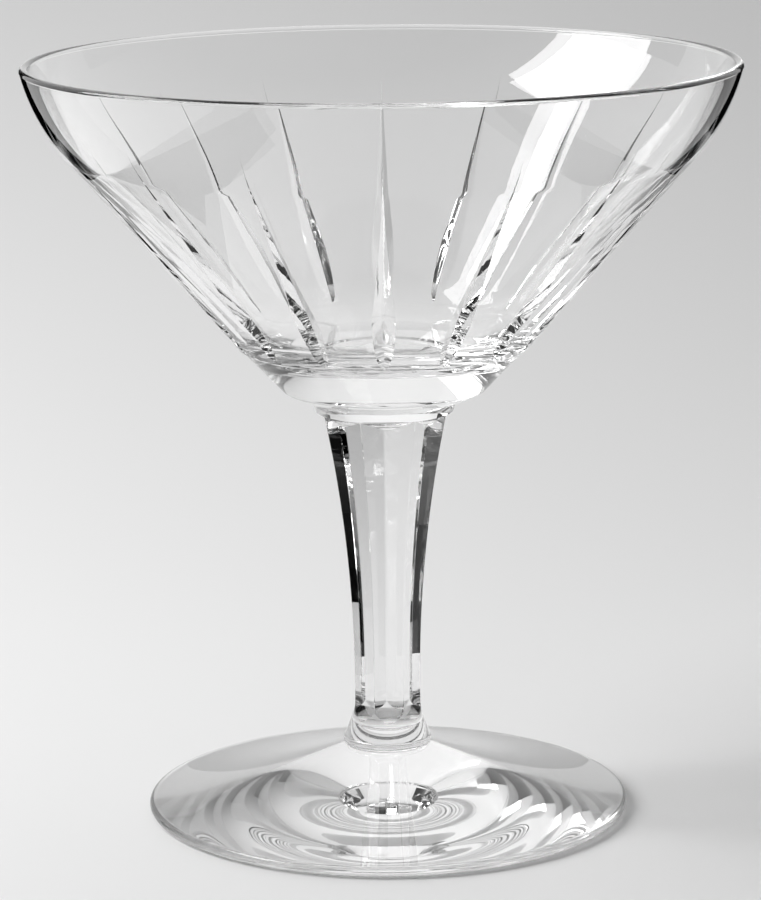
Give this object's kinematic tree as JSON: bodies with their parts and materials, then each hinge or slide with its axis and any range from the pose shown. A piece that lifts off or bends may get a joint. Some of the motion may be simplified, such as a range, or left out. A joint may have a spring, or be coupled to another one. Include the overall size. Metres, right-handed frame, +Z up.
{
  "type": "sherbet glass",
  "caption": "Stemmed sherbet glass of clear cut crystal: wide conical bowl with sixteen tapering mitre cuts, seven-panelled stem and round disc foot, for iced desserts and drinks.",
  "frame": {"origin": "centre of the foot's resting ring, on the surface that the glass stands on", "axes": "+Z up along the glass's axis; -Y is the side that faces the viewer, with a cut of the bowl in front and a flat of the stem turned about 3 degrees to the right of it"},
  "size_m": [0.106, 0.106, 0.1133],
  "materials": {
    "crystal": "clear, polished"
  },
  "bodies": {
    "root": {"foot": "crystal", "wafer": "crystal", "stem": "crystal", "bowl": "crystal"}
  },
  "joints": []
}
